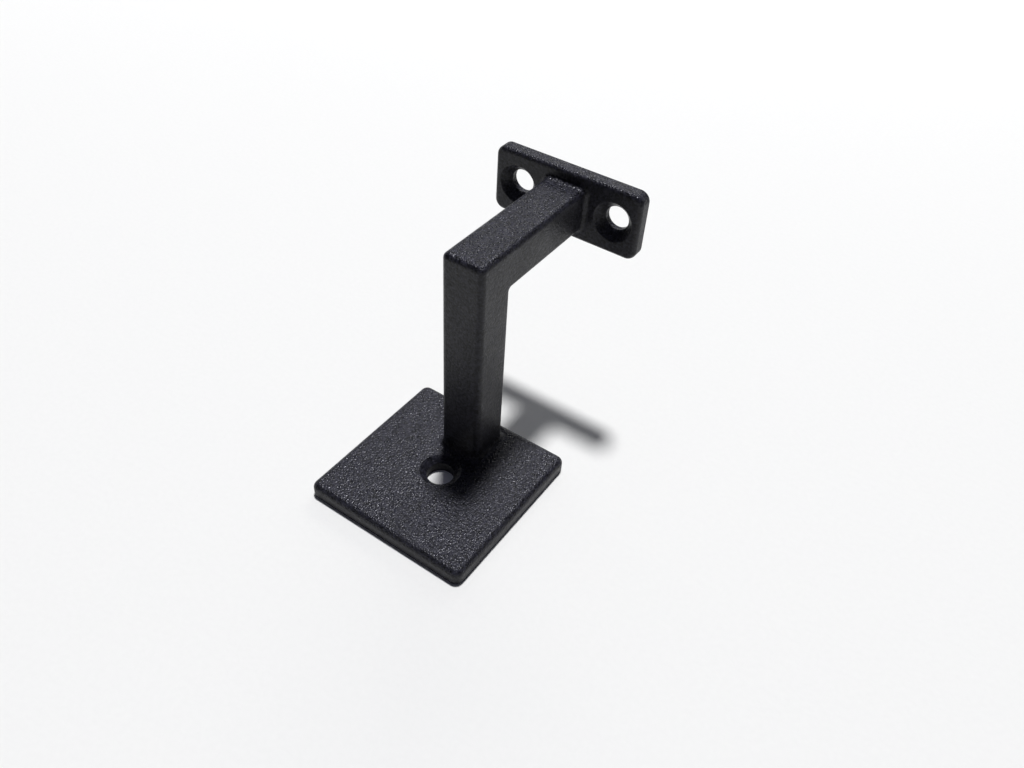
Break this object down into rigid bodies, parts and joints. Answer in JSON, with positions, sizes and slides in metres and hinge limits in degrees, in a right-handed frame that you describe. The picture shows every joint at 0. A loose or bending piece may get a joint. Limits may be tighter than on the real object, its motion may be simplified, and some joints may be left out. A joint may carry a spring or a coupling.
{
  "type": "handrail bracket",
  "caption": "One-piece cast wall bracket for a handrail: square wall plate, square bar with a sharp elbow, and a flat saddle with countersunk screw holes.",
  "frame": {"origin": "middle of the wall plate's back face, on the axis of the wall screw hole", "axes": "+Z leaves the wall along the post, +Y is the way the arm points, towards the rail, and X runs along the rail; the wall is the plane z = 0"},
  "size_m": [0.0494, 0.0823, 0.0718],
  "materials": {
    "powder_coat": "black fine-textured powder coat, satin"
  },
  "bodies": {
    "root": {"bracket": "powder_coat"}
  },
  "joints": []
}
